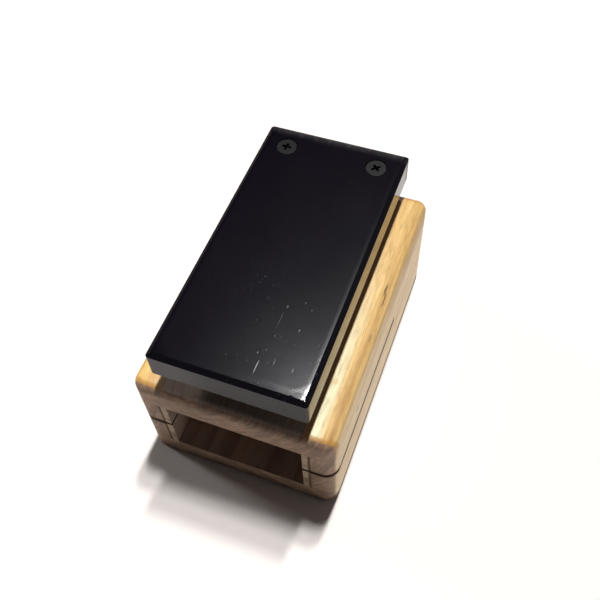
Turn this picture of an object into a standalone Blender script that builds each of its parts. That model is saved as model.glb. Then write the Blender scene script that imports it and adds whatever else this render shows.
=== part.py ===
"""Hand clap block: a hollow, kerfed ash box with a sprung clapper plate above it.

Units are metres, +Z is up and the open front faces -Y. The origin lies on the
table, under the middle of the box. The box is glued up from two boards, two
side rails with thin linings and a rear block. The clapper plate is held by two
screws on a rubber block at its rear, and rocks about the screw heads.
"""
import math

import bmesh
import bpy
from mathutils import Matrix

# Box: boards, rails and the chamber between them
BODY_WIDTH = 0.080
BODY_LENGTH = 0.121
TOP_BOARD_THICKNESS = 0.012
BOTTOM_BOARD_THICKNESS = 0.010
CHAMBER_HEIGHT = 0.0295
SIDE_RAIL_THICKNESS = 0.010
LINING_THICKNESS = 0.003
REAR_BLOCK_LENGTH = 0.025

# Saw kerf through the side walls, open at the front
KERF_WIDTH = 0.0016
KERF_LENGTH = 0.0755
KERF_HEIGHT = 0.0257

# Rounded edges of the box
FRONT_CORNER_RADIUS = 0.007
REAR_CORNER_RADIUS = 0.0045
TOP_EDGE_RADIUS = 0.004
BASE_EDGE_RADIUS = 0.0008

# Clapper plate
PLATE_WIDTH = 0.0595
PLATE_LENGTH = 0.1185
PLATE_THICKNESS = 0.013
PLATE_CORNER_RADIUS = 0.002
PLATE_TOP_CHAMFER = 0.0018
PLATE_UNDER_EDGE_RADIUS = 0.0008
CLAP_GAP = 0.010

# Rubber block under the rear of the plate, nearly as wide as the plate
RUBBER_WIDTH = 0.0575
RUBBER_LENGTH = 0.020
RUBBER_CORNER_RADIUS = 0.002

# Countersunk cross-head wood screws
SCREW_SPACING = 0.038
SCREW_SETBACK = 0.011
SCREW_LENGTH = 0.040
SHANK_DIAMETER = 0.004
HEAD_DIAMETER = 0.0084
HEAD_RIM = 0.0003
HEAD_SINK = 0.0002
POINT_LENGTH = 0.006
RECESS_SPAN = 0.0046
RECESS_WIDTH = 0.0012
RECESS_DEPTH = 0.0016
RECESS_TURN_LEFT = math.radians(-3.0)
RECESS_TURN_RIGHT = math.radians(42.0)

# Fits
GLUE_LINE = 0.0003
SEAT_GAP = 0.0003
PILOT_CLEARANCE = 0.0003
ROCKING_CLEARANCE = 0.0006
CUT_MARGIN = 0.002

# Facets of rounded forms
CORNER_SEGMENTS = 6
EDGE_SEGMENTS = 4
TURN_STEPS = 24

# Places worked out from the sizes above
FRONT_Y = -BODY_LENGTH / 2
REAR_Y = BODY_LENGTH / 2
CHAMBER_TOP = BOTTOM_BOARD_THICKNESS + CHAMBER_HEIGHT
BODY_HEIGHT = CHAMBER_TOP + TOP_BOARD_THICKNESS
RAIL_INNER_X = BODY_WIDTH / 2 - SIDE_RAIL_THICKNESS
CHAMBER_HALF_WIDTH = RAIL_INNER_X - LINING_THICKNESS
PLATE_BASE = BODY_HEIGHT + CLAP_GAP
PLATE_TOP = PLATE_BASE + PLATE_THICKNESS
SCREW_Y = REAR_Y - SCREW_SETBACK
SCREW_TOP = PLATE_TOP - HEAD_SINK
HEAD_DEPTH = (HEAD_DIAMETER - SHANK_DIAMETER) / 2
PIVOT_Z = SCREW_TOP - HEAD_DEPTH / 2
SWING = math.asin(CLAP_GAP / (PLATE_LENGTH - SCREW_SETBACK))

SIDES = {"left": -1, "right": 1}
ALL_CORNERS = ((-1, -1), (1, -1), (1, 1), (-1, 1))


def clear_scene():
    """Remove every object that the scene starts with."""
    for old in list(bpy.data.objects):
        bpy.data.objects.remove(old, do_unlink=True)


def new_collection(name):
    """Return a new collection linked to the scene."""
    group = bpy.data.collections.new(name)
    bpy.context.scene.collection.children.link(group)
    return group


def finish_material(name, colour, roughness, metallic=0.0):
    """Return a Principled material of one colour."""
    material = bpy.data.materials.new(name)
    material.use_nodes = True
    shader = material.node_tree.nodes["Principled BSDF"]
    shader.inputs["Base Color"].default_value = (*colour, 1.0)
    shader.inputs["Roughness"].default_value = roughness
    shader.inputs["Metallic"].default_value = metallic
    return material


def move_to(obj, group):
    """Leave an object in one collection only."""
    for old in list(obj.users_collection):
        old.objects.unlink(obj)
    group.objects.link(obj)


def fillet(radius, *walls):
    """Return a fillet radius that its walls have room for."""
    return min([radius] + [0.45 * wall for wall in walls])


def box(name, low, high):
    """Return a box between two corners, with its origin at its middle."""
    size = [b - a for a, b in zip(low, high)]
    middle = [(a + b) / 2 for a, b in zip(low, high)]
    bpy.ops.mesh.primitive_cube_add(size=1.0, location=middle)
    obj = bpy.context.object
    obj.name = obj.data.name = name
    obj.data.transform(Matrix.Diagonal((*size, 1.0)))
    return obj


def bevel_edges(bm, edges, radius, segments):
    """Round the given edges of a mesh being edited."""
    bmesh.ops.bevel(bm, geom=edges, offset=radius, offset_type="OFFSET", segments=segments,
                    profile=0.5, affect="EDGES", clamp_overlap=True)


def round_uprights(obj, radius, corners):
    """Round the upright edges at the given corners, each the signs of its x and y."""
    bm = bmesh.new()
    bm.from_mesh(obj.data)
    edges = []
    for edge in bm.edges:
        a, b = (vert.co for vert in edge.verts)
        upright = abs(a.z - b.z) > max(abs(a.x - b.x), abs(a.y - b.y))
        if upright and (math.copysign(1, a.x), math.copysign(1, a.y)) in corners:
            edges.append(edge)
    bevel_edges(bm, edges, radius, CORNER_SEGMENTS)
    bm.to_mesh(obj.data)
    bm.free()


def round_rim(obj, side, radius, segments=EDGE_SEGMENTS):
    """Round the rim of the upper (side 1) or lower (side -1) face, or chamfer it with one segment."""
    bm = bmesh.new()
    bm.from_mesh(obj.data)
    face = max(bm.faces, key=lambda item: side * item.calc_center_median().z)
    bevel_edges(bm, list(face.edges), radius, segments)
    bm.to_mesh(obj.data)
    bm.free()


def turned(name, profile, place):
    """Return a solid turned about Z from (radius, height) points, listed top to bottom."""
    mesh = bpy.data.meshes.new(name)
    points = [(radius, 0.0, height) for radius, height in profile]
    mesh.from_pydata(points, [(i, i + 1) for i in range(len(points) - 1)], [])
    obj = bpy.data.objects.new(name, mesh)
    obj.location = place
    bpy.context.scene.collection.objects.link(obj)
    lathe = obj.modifiers.new("lathe", "SCREW")
    lathe.axis = "Z"
    lathe.steps = lathe.render_steps = TURN_STEPS
    lathe.use_merge_vertices = True
    lathe.merge_threshold = 0.00001
    return obj


def as_cutter(obj, group):
    """Mark an object as a cutter."""
    move_to(obj, group)
    obj.hide_render = True
    obj.display_type = "WIRE"
    return obj


def cut(obj, cutter):
    """Cut one object out of another."""
    boolean = obj.modifiers.new(cutter.name, "BOOLEAN")
    boolean.operation = "DIFFERENCE"
    boolean.solver = "EXACT"
    boolean.object = cutter


def finish(obj, group, material):
    """Shade a finished piece, give it its material and put it with the others."""
    obj.data.shade_smooth()
    obj.data.set_sharp_from_angle(angle=math.radians(30.0))
    obj.data.materials.clear()
    obj.data.materials.append(material)
    move_to(obj, group)
    return obj


def round_body_corners(obj, sides, *walls):
    """Round the upright edges on the given sides, front and rear, and return the lesser radius."""
    front = fillet(FRONT_CORNER_RADIUS, BODY_WIDTH, BODY_LENGTH, *walls)
    rear = fillet(REAR_CORNER_RADIUS, BODY_WIDTH, BODY_LENGTH, *walls)
    round_uprights(obj, front, [(side, -1) for side in sides])
    round_uprights(obj, rear, [(side, 1) for side in sides])
    return min(front, rear)


def top_board():
    """The upper board, rounded over at its rim and corners."""
    board = box("top_board", (-BODY_WIDTH / 2, FRONT_Y, CHAMBER_TOP),
                (BODY_WIDTH / 2, REAR_Y, BODY_HEIGHT))
    corner = round_body_corners(board, SIDES.values())
    round_rim(board, 1, fillet(TOP_EDGE_RADIUS, 2 * TOP_BOARD_THICKNESS, 2 * corner))
    return board


def bottom_board():
    """The lower board, eased at its lower rim and rounded at its corners."""
    board = box("bottom_board", (-BODY_WIDTH / 2, FRONT_Y, 0.0),
                (BODY_WIDTH / 2, REAR_Y, BOTTOM_BOARD_THICKNESS))
    corner = round_body_corners(board, SIDES.values())
    round_rim(board, -1, fillet(BASE_EDGE_RADIUS, 2 * BOTTOM_BOARD_THICKNESS, 2 * corner))
    return board


def wall_strip(name, side, inner, outer):
    """A strip between the boards, from one distance to another off the middle plane."""
    low_x, high_x = sorted((side * inner, side * outer))
    return box(name, (low_x, FRONT_Y, BOTTOM_BOARD_THICKNESS + GLUE_LINE),
               (high_x, REAR_Y, CHAMBER_TOP - GLUE_LINE))


def side_rail(label, side):
    """A side wall, with its outer corners rounded like the boards' corners."""
    rail = wall_strip(f"{label}_side_rail", side, RAIL_INNER_X, BODY_WIDTH / 2)
    round_body_corners(rail, [side], 2 * SIDE_RAIL_THICKNESS)
    return rail


def lining_strip(label, side):
    """The thin strip that lines a side wall."""
    return wall_strip(f"{label}_lining_strip", side, CHAMBER_HALF_WIDTH, RAIL_INNER_X - GLUE_LINE)


def rear_block():
    """The block that closes the chamber at the rear and takes the screw points."""
    half = CHAMBER_HALF_WIDTH - GLUE_LINE
    return box("rear_block", (-half, REAR_Y - REAR_BLOCK_LENGTH, BOTTOM_BOARD_THICKNESS + GLUE_LINE),
               (half, REAR_Y, CHAMBER_TOP - GLUE_LINE))


def kerf_cutter():
    """The saw cut at mid height, from in front of the box back to where it stops."""
    half = BODY_WIDTH / 2 + CUT_MARGIN
    return box("kerf_cut", (-half, FRONT_Y - CUT_MARGIN, KERF_HEIGHT - KERF_WIDTH / 2),
               (half, FRONT_Y + KERF_LENGTH, KERF_HEIGHT + KERF_WIDTH / 2))


def hinge_rubber():
    """The rubber block between the box and the plate, centred on the screws."""
    rubber = box("hinge_rubber",
                 (-RUBBER_WIDTH / 2, SCREW_Y - RUBBER_LENGTH / 2, BODY_HEIGHT + SEAT_GAP),
                 (RUBBER_WIDTH / 2, SCREW_Y + RUBBER_LENGTH / 2, PLATE_BASE - SEAT_GAP))
    round_uprights(rubber, fillet(RUBBER_CORNER_RADIUS, RUBBER_WIDTH, RUBBER_LENGTH), ALL_CORNERS)
    return rubber


def strike_plate():
    """The clapper plate, its rear end flush with the rear of the box."""
    plate = box("strike_plate", (-PLATE_WIDTH / 2, REAR_Y - PLATE_LENGTH, PLATE_BASE),
                (PLATE_WIDTH / 2, REAR_Y, PLATE_TOP))
    corner = fillet(PLATE_CORNER_RADIUS, PLATE_WIDTH, PLATE_LENGTH)
    round_uprights(plate, corner, ALL_CORNERS)
    round_rim(plate, 1, fillet(PLATE_TOP_CHAMFER, PLATE_THICKNESS, 2 * corner), segments=1)
    round_rim(plate, -1, fillet(PLATE_UNDER_EDGE_RADIUS, PLATE_THICKNESS, 2 * corner))
    return plate


def rocking_hole_cutter(label, x):
    """A countersunk hole that flares downwards, so that the plate can rock on the screw."""
    head = HEAD_DIAMETER / 2 + ROCKING_CLEARANCE
    neck = SHANK_DIAMETER / 2 + ROCKING_CLEARANCE
    head_base = SCREW_TOP - HEAD_RIM - HEAD_DEPTH
    mouth = neck + (PIVOT_Z - PLATE_BASE) * math.tan(SWING)
    profile = [(0.0, PLATE_TOP + CUT_MARGIN), (head, PLATE_TOP + CUT_MARGIN), (head, SCREW_TOP - HEAD_RIM),
               (neck, head_base), (mouth, PLATE_BASE), (mouth, PLATE_BASE - CUT_MARGIN),
               (0.0, PLATE_BASE - CUT_MARGIN)]
    return turned(f"rocking_hole_{label}", profile, (x, SCREW_Y, 0.0))


def pilot_hole_cutter(label, x):
    """The hole for a screw's shank through the rubber and top board into the rear block."""
    radius = SHANK_DIAMETER / 2 + PILOT_CLEARANCE
    top = PLATE_BASE
    bottom = SCREW_TOP - SCREW_LENGTH - PILOT_CLEARANCE
    profile = [(0.0, top), (radius, top), (radius, bottom), (0.0, bottom)]
    return turned(f"pilot_hole_{label}", profile, (x, SCREW_Y, 0.0))


def screw_mesh():
    """One countersunk screw with its cross recess, its head's top at height 0."""
    head = HEAD_DIAMETER / 2
    shank = SHANK_DIAMETER / 2
    profile = [(0.0, 0.0), (head, 0.0), (head, -HEAD_RIM), (shank, -HEAD_RIM - HEAD_DEPTH),
               (shank, POINT_LENGTH - SCREW_LENGTH), (0.0, -SCREW_LENGTH)]
    blank = turned("screw_blank", profile, (0.0, 0.0, 0.0))
    half_span = RECESS_SPAN / 2
    half_width = RECESS_WIDTH / 2
    arms = [box("recess_across", (-half_span, -half_width, -RECESS_DEPTH),
                (half_span, half_width, RECESS_DEPTH)),
            box("recess_along", (-half_width, -half_span, -RECESS_DEPTH),
                (half_width, half_span, RECESS_DEPTH))]
    for arm in arms:
        cut(blank, arm)
    bpy.context.view_layer.update()
    depsgraph = bpy.context.evaluated_depsgraph_get()
    mesh = bpy.data.meshes.new_from_object(blank.evaluated_get(depsgraph))
    mesh.name = "plate_screw"
    for spare in [blank] + arms:
        bpy.data.objects.remove(spare, do_unlink=True)
    return mesh


def plate_screw(label, x, turn, mesh):
    """A screw in its place, its cross recess turned as it was left when driven."""
    screw = bpy.data.objects.new(f"plate_screw_{label}", mesh)
    screw.location = (x, SCREW_Y, SCREW_TOP)
    screw.rotation_euler = (0.0, 0.0, turn)
    bpy.context.scene.collection.objects.link(screw)
    return screw


def hang_on_pivot(plate, group):
    """Parent the plate to an empty on its rocking axis, through the screw heads."""
    pivot = bpy.data.objects.new("clapper_pivot", None)
    pivot.location = (0.0, SCREW_Y, PIVOT_Z)
    pivot.empty_display_size = PLATE_WIDTH / 2
    group.objects.link(pivot)
    bpy.context.view_layer.update()
    plate.parent = pivot
    plate.matrix_parent_inverse = pivot.matrix_world.inverted()


def build():
    """Build every piece of the block."""
    clear_scene()
    pieces = new_collection("hand_clap_block")
    cutters = new_collection("cutters")
    ash = finish_material("ash", (0.68, 0.47, 0.24), 0.45)
    rail_ash = finish_material("rail_ash", (0.62, 0.44, 0.24), 0.5)
    pale_strip = finish_material("pale_strip", (0.72, 0.56, 0.34), 0.5)
    black_lacquer = finish_material("black_lacquer", (0.008, 0.008, 0.011), 0.22)
    black_rubber = finish_material("black_rubber", (0.02, 0.02, 0.02), 0.75)
    black_steel = finish_material("black_steel", (0.035, 0.035, 0.04), 0.4, 0.9)

    kerf = as_cutter(kerf_cutter(), cutters)
    upper = finish(top_board(), pieces, ash)
    finish(bottom_board(), pieces, ash)
    block = finish(rear_block(), pieces, rail_ash)
    rubber = finish(hinge_rubber(), pieces, black_rubber)
    plate = finish(strike_plate(), pieces, black_lacquer)

    turns = {"left": RECESS_TURN_LEFT, "right": RECESS_TURN_RIGHT}
    screw_shape = screw_mesh()
    for label, side in SIDES.items():
        for strip, material in ((side_rail(label, side), rail_ash), (lining_strip(label, side), pale_strip)):
            cut(finish(strip, pieces, material), kerf)
        x = side * SCREW_SPACING / 2
        cut(plate, as_cutter(rocking_hole_cutter(label, x), cutters))
        pilot = as_cutter(pilot_hole_cutter(label, x), cutters)
        for drilled in (rubber, upper, block):
            cut(drilled, pilot)
        finish(plate_screw(label, x, turns[label], screw_shape), pieces, black_steel)
    hang_on_pivot(plate, pieces)


build()
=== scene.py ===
"""Dress the hand clap block: its woods, lacquer, screws, rubber, light and camera.

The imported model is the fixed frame. Each sub-assembly is a class that models its pieces
where the frame has their nodes, gives them a finish and rides them on the body that
carries them. Lengths are metres, +Z is up and the open front faces -Y.
"""

import logging
import math
from collections.abc import Callable, Iterator, Sequence
from contextlib import contextmanager
from dataclasses import dataclass
from enum import Enum
from functools import reduce

import bmesh
import bpy
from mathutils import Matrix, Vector


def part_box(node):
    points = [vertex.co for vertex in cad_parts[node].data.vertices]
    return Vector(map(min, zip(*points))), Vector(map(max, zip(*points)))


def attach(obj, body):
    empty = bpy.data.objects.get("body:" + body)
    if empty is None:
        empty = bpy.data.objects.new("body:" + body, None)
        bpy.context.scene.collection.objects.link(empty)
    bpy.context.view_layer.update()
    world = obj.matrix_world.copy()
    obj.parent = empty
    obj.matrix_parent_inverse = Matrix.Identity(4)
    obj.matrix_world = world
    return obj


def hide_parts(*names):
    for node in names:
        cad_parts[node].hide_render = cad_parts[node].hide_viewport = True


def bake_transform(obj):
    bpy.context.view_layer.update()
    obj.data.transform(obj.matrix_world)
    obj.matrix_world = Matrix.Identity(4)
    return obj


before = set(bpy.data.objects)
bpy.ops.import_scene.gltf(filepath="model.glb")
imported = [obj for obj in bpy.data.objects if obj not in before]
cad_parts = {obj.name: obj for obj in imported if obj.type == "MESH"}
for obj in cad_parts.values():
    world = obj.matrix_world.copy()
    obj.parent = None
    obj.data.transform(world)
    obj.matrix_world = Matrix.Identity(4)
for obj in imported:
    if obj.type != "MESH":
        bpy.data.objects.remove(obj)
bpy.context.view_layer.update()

Pair = tuple[float, float]
Triple = tuple[float, float, float]
Face = bpy.types.MeshPolygon
Material = bpy.types.Material
Socket = bpy.types.NodeSocket
Value = float | Socket
Shade = Triple | Socket

LOG = logging.getLogger("hand_clap_block")
# The width of a glued hairline, and the slack in tests of places and of directions
HAIR = 0.00002
CLOSE = 0.00001
SQUARE_ON = 0.99
# Where the two screws stand
SCREW_SPACING = 0.038
SCREW_LINE = 0.0495


class Body(Enum):
    """The bodies of the frame that pieces ride on."""

    BOX = "box"
    CLAPPER = "clapper"


class Side(Enum):
    """The two sides of the block, as signs of X."""

    LEFT = -1
    RIGHT = 1

    @property
    def word(self) -> str:
        """Give the side's name as the frame's nodes write it."""
        return self.name.lower()

    @property
    def screw(self) -> Pair:
        """Give the X and Y of the axis of the side's screw."""
        return self.value * SCREW_SPACING / 2, SCREW_LINE


class Slot(Enum):
    """The record's material slots."""

    ASH = "ash"
    RAIL_ASH = "rail_ash"
    PALE_STRIP = "pale_strip"
    RUBBER = "black_rubber"
    LACQUER = "black_lacquer"
    STEEL = "black_steel"


class Tone(Enum):
    """What tells the two tones of a dull finish apart."""

    SAW_MARKS = "saw marks"
    WEAR = "wear"
    CLOUDS = "clouds"


def clear_selection() -> None:
    """Select nothing."""
    bpy.ops.object.select_all(action="DESELECT")


class Piece:
    """A piece on the bench, shaped with the operators that a hand would use."""

    sharp_angle = math.radians(40.0)
    smooth_angle = math.radians(35.0)

    def __init__(self, name: str) -> None:
        """Take up the shape that was just added and put its place in its mesh.

        Args:
            name: The piece's name.
        """
        self.item = bpy.context.object
        self.item.name = name
        self.item.data.name = name
        bpy.ops.object.transform_apply(location=True, rotation=True, scale=True)

    @classmethod
    def block(cls, name: str, low: Sequence[float], high: Sequence[float]) -> "Piece":
        """Add a block between two corners.

        Args:
            name: The piece's name.
            low: The lowest corner.
            high: The highest corner.

        Returns:
            The block.
        """
        clear_selection()
        middle = [(start + end) / 2 for start, end in zip(low, high)]
        bpy.ops.mesh.primitive_cube_add(size=1.0, location=middle)
        bpy.context.object.scale = [end - start for start, end in zip(low, high)]
        return cls(name)

    @classmethod
    def turned(cls, name: str, middle: Pair, profile: Sequence[Pair], sides: int = 72) -> "Piece":
        """Turn an upright round solid by extruding one ring after another.

        Args:
            name: The piece's name.
            middle: The X and Y of its axis.
            profile: Radius and height of each ring, from the lowest up.
            sides: How many sides a ring has.

        Returns:
            The closed solid.
        """
        clear_selection()
        radius, height = profile[0]
        bpy.ops.mesh.primitive_circle_add(vertices=sides, radius=radius, fill_type="NGON",
                                          location=(*middle, height))
        piece = cls(name)
        with piece.editing("FACE"):
            bpy.ops.mesh.select_all(action="SELECT")
            for next_radius, next_height in profile[1:]:
                rise = (0.0, 0.0, next_height - height)
                bpy.ops.mesh.extrude_region_move(TRANSFORM_OT_translate={"value": rise})
                share = next_radius / radius
                bpy.ops.transform.resize(value=(share, share, 1.0), center_override=(*middle, next_height))
                radius, height = next_radius, next_height
            bpy.ops.mesh.select_all(action="SELECT")
            bpy.ops.mesh.normals_make_consistent(inside=False)
        return piece

    def take(self) -> None:
        """Select the piece alone and make it active."""
        clear_selection()
        self.item.select_set(True)
        bpy.context.view_layer.objects.active = self.item

    @contextmanager
    def editing(self, kind: str) -> Iterator[bmesh.types.BMesh]:
        """Open the piece in edit mode with nothing selected.

        Args:
            kind: The select mode, VERT, EDGE or FACE.

        Returns:
            The edit mesh, while the piece is open.
        """
        self.take()
        bpy.ops.object.mode_set(mode="EDIT")
        bpy.ops.mesh.select_mode(type=kind)
        bpy.ops.mesh.select_all(action="DESELECT")
        yield bmesh.from_edit_mesh(self.item.data)
        bpy.ops.object.mode_set(mode="OBJECT")

    def round_edges(self, chosen: Callable[[Vector, Vector], bool], radius: float, flats: int) -> None:
        """Round the edges that a test accepts.

        Args:
            chosen: The test of an edge's two ends.
            radius: The radius of the rounding.
            flats: How many flats it has.
        """
        with self.editing("EDGE") as mesh:
            for edge in mesh.edges:
                edge.select_set(chosen(edge.verts[0].co, edge.verts[1].co))
            bmesh.update_edit_mesh(self.item.data)
            bpy.ops.mesh.bevel(offset=radius, segments=flats, profile=0.5, affect="EDGES")

    def round_corners(self, front: float, rear: float, flats: int,
                      sides: Sequence[Side] = tuple(Side)) -> None:
        """Round a block's upright edges on the sides named.

        Args:
            front: The radius of the front corners.
            rear: The radius of the rear corners.
            flats: How many flats a corner has.
            sides: The sides whose corners are rounded.
        """
        middle = sum((Vector(corner) for corner in self.item.bound_box), Vector()) / 8
        signs = [side.value for side in sides]
        for end, radius in ((-1, front), (1, rear)):
            self.round_edges(lambda first, second: (first - second).xy.length < CLOSE
                             and math.copysign(1, first.x - middle.x) in signs
                             and (first.y - middle.y) * end > 0, radius, flats)

    def round_rim(self, height: float, radius: float, flats: int) -> None:
        """Round the rim of the level face at a height."""
        self.round_edges(lambda *ends: all(abs(end.z - height) < CLOSE for end in ends), radius, flats)

    def slice(self, place: Triple, normal: Triple, swell: Triple | None = None) -> None:
        """Cut new edges all round the piece with a plane.

        Args:
            place: A point on the plane.
            normal: The plane's normal.
            swell: How the new edges are scaled about that point, if they are.
        """
        with self.editing("FACE"):
            bpy.ops.mesh.select_all(action="SELECT")
            bpy.ops.mesh.bisect(plane_co=place, plane_no=normal)
            if swell:
                bpy.ops.transform.resize(value=swell, center_override=place)

    def shift(self, chosen: Callable[[Vector], bool], move: Triple) -> None:
        """Move the points that a test accepts.

        Args:
            chosen: The test of a point.
            move: How far they move.
        """
        with self.editing("VERT") as mesh:
            for point in mesh.verts:
                point.select_set(chosen(point.co))
            mesh.select_flush_mode()
            bmesh.update_edit_mesh(self.item.data)
            bpy.ops.transform.translate(value=move)

    def change(self, kind: str, **settings: object) -> None:
        """Add a modifier to the piece and apply it.

        Args:
            kind: The modifier's type.
            settings: Its properties.
        """
        self.take()
        modifier = self.item.modifiers.new(kind.lower(), kind)
        for name, value in settings.items():
            setattr(modifier, name, value)
        bpy.ops.object.modifier_apply(modifier=modifier.name)

    def cut(self, cutter: "Piece") -> None:
        """Cut a shape out of the piece and keep the shape."""
        self.change("BOOLEAN", operation="DIFFERENCE", solver="EXACT", object=cutter.item)

    def bore(self, cutter: "Piece") -> None:
        """Cut a shape out of the piece and scrap the shape."""
        self.cut(cutter)
        cutter.scrap()

    def drill(self, profile: Sequence[Pair], sides: int = 72) -> None:
        """Drill the two screw holes with a drill of this profile."""
        for side in Side:
            self.bore(Piece.turned("drill", side.screw, profile, sides))

    def scrap(self) -> None:
        """Remove a shape that was only a cutter."""
        bpy.data.meshes.remove(self.item.data)

    def ease(self, width: float) -> None:
        """Break every sharp edge, as sandpaper does.

        Args:
            width: The width of the broken edge.
        """
        self.change("BEVEL", limit_method="ANGLE", angle_limit=self.sharp_angle, width=width, segments=2,
                    use_clamp_overlap=True)
        bpy.ops.object.shade_smooth_by_angle(angle=self.smooth_angle)
        self.change("WEIGHTED_NORMAL", keep_sharp=True, weight=50)

    def hand_over(self, node: str, body: Body, slot: Slot, material: Material) -> None:
        """Give the piece its finish and put it in the place of its CAD node.

        Args:
            node: The CAD node that it replaces.
            body: The body that it rides on.
            slot: The record's slot of its finish, which this method doesn't use.
            material: Its material.
        """
        self.item.data.materials.clear()
        self.item.data.materials.append(material)
        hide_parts(node)
        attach(self.item, body.value)
        LOG.info("%s stands for %s on %s", self.item.name, node, body.value)

    def paint(self, material: Material, chosen: Callable[[Face], bool]) -> None:
        """Give the faces that a test accepts a finish of their own.

        Args:
            material: The finish's material.
            chosen: The test of a face.
        """
        materials = self.item.data.materials
        materials.append(material)
        for face in self.item.data.polygons:
            if chosen(face):
                face.material_index = len(materials) - 1


class Sheet:
    """A node tree that is being filled in."""

    def __init__(self, tree: bpy.types.NodeTree) -> None:
        """Start on an empty tree."""
        self.tree = tree
        tree.nodes.clear()

    def add(self, kind: str, *values: Value | Shade, **settings: object) -> bpy.types.Node:
        """Add a node.

        Args:
            kind: The node's type name, without the leading ShaderNode.
            values: What its first inputs get, in order.
            settings: Properties of the node.

        Returns:
            The new node.
        """
        node = self.tree.nodes.new(kind if kind.startswith("Node") else "ShaderNode" + kind)
        for name, value in settings.items():
            setattr(node, name, value)
        for socket, value in zip(node.inputs, values):
            self.feed(socket, value)
        return node

    def feed(self, socket: Socket, value: Value | Shade) -> None:
        """Link a socket to an input, or set the input's number, vector or colour.

        Args:
            socket: The input.
            value: What it gets.
        """
        if isinstance(value, bpy.types.NodeSocket):
            self.tree.links.new(value, socket)
        elif socket.type == "RGBA":
            socket.default_value = (*value, 1.0)
        else:
            socket.default_value = value

    def math(self, operation: str, *values: Value) -> Socket:
        """Work numbers out with an operation of the Math node."""
        return self.add("Math", *values, operation=operation).outputs[0]

    def times(self, *values: Value) -> Socket:
        """Multiply numbers."""
        return reduce(lambda product, value: self.math("MULTIPLY", product, value), values)

    def most(self, *values: Value) -> Socket:
        """Give the largest of some numbers."""
        return reduce(lambda largest, value: self.math("MAXIMUM", largest, value), values)

    def away(self, value: Socket, middle: Value) -> Socket:
        """Give how far a number is from a middle."""
        return self.math("ABSOLUTE", self.math("SUBTRACT", value, middle))

    def swing(self, noise: Socket, size: float) -> Socket:
        """Turn noise into a swing to both sides of zero."""
        return self.times(self.math("SUBTRACT", noise, 0.5), size)

    def span(self, value: Value, start: Value, end: Value, low: Value = 0.0, high: Value = 1.0) -> Socket:
        """Map the range from start to end softly to the range from low to high."""
        node = self.add("MapRange", value, start, end, low, high, interpolation_type="SMOOTHSTEP")
        return node.outputs["Result"]

    def parts(self, place: Socket) -> Sequence[Socket]:
        """Split a vector into its X, Y and Z."""
        return self.add("SeparateXYZ", place).outputs[:]

    def vector(self, operation: str, *values: Shade) -> Socket:
        """Work vectors out with an operation of the Vector Math node."""
        node = self.add("VectorMath", *values, operation=operation)
        return node.outputs["Value" if operation == "LENGTH" else "Vector"]

    def mix(self, share: Value, first: Shade, second: Shade, mode: str = "MIX") -> Socket:
        """Mix two colours.

        Args:
            share: How much of the second shows.
            first: The first colour.
            second: The second colour.
            mode: The blend mode.

        Returns:
            The mixed colour.
        """
        node = self.add("Mix", share, data_type="RGBA", blend_type=mode)
        self.feed(node.inputs[6], first)
        self.feed(node.inputs[7], second)
        return node.outputs[2]

    def tint(self, colour: Socket, shade: Socket) -> Socket:
        """Multiply a colour by a shade."""
        return self.mix(1.0, colour, shade, "MULTIPLY")

    def noise(self, place: Socket, scale: Shade, detail: float = 2.0, roughness: float = 0.5,
              output: str = "Fac") -> Socket:
        """Add noise that is stretched by its own scale on each axis.

        Args:
            place: The place that it is read at.
            scale: How many features fit in a metre on each axis.
            detail: How many octaves it has.
            roughness: How strong the fine octaves are.
            output: Which of the node's outputs is wanted.

        Returns:
            The noise.
        """
        node = self.add("TexNoise", self.vector("MULTIPLY", place, scale))
        for name, value in (("Scale", 1.0), ("Detail", detail), ("Roughness", roughness)):
            node.inputs[name].default_value = value
        return node.outputs[output]

    def cells(self, place: Socket, scale: Triple) -> tuple[Socket, Socket]:
        """Add round cells that are stretched by their own scale on each axis.

        Args:
            place: The place that they are read at.
            scale: How many cells fit in a metre on each axis.

        Returns:
            The distance from a cell's middle, and each cell's own colour.
        """
        node = self.add("TexVoronoi", self.vector("MULTIPLY", place, scale), feature="F1")
        node.inputs["Scale"].default_value = 1.0
        return node.outputs["Distance"], node.outputs["Color"]


class Effect:
    """A shader node group that a function fills in, made once and placed in many materials."""

    def __init__(self, *outputs: str, **inputs: str) -> None:
        """Name what goes in and what comes out.

        Args:
            outputs: The names of the outputs, which are numbers.
            inputs: The kind of each input, Vector or Float.
        """
        self.outputs = outputs
        self.inputs = inputs
        self.tree: bpy.types.NodeTree | None = None

    def __call__(self, fill: Callable[..., Sequence[Socket]]) -> "Effect":
        """Take the function that fills the group in."""
        self.fill = fill
        return self

    def make(self) -> bpy.types.NodeTree:
        """Make the group.

        Returns:
            The group's tree.
        """
        tree = bpy.data.node_groups.new(self.fill.__name__, "ShaderNodeTree")
        for name, kind in self.inputs.items():
            tree.interface.new_socket(name, in_out="INPUT", socket_type="NodeSocket" + kind)
        for name in self.outputs:
            tree.interface.new_socket(name, in_out="OUTPUT", socket_type="NodeSocketFloat")
        sheet = Sheet(tree)
        entry = sheet.add("NodeGroupInput")
        sheet.add("NodeGroupOutput", *self.fill(sheet, *entry.outputs[:len(self.inputs)]))
        return tree

    def place(self, sheet: Sheet, **values: Value | Shade) -> dict[str, Socket]:
        """Place the group in a material.

        Args:
            sheet: The material's node sheet.
            values: What its inputs get.

        Returns:
            Its outputs by name.
        """
        self.tree = self.tree or self.make()
        node = sheet.add("Group", node_tree=self.tree)
        for name, value in values.items():
            sheet.feed(node.inputs[name], value)
        return {socket.name: socket for socket in node.outputs}


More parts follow.
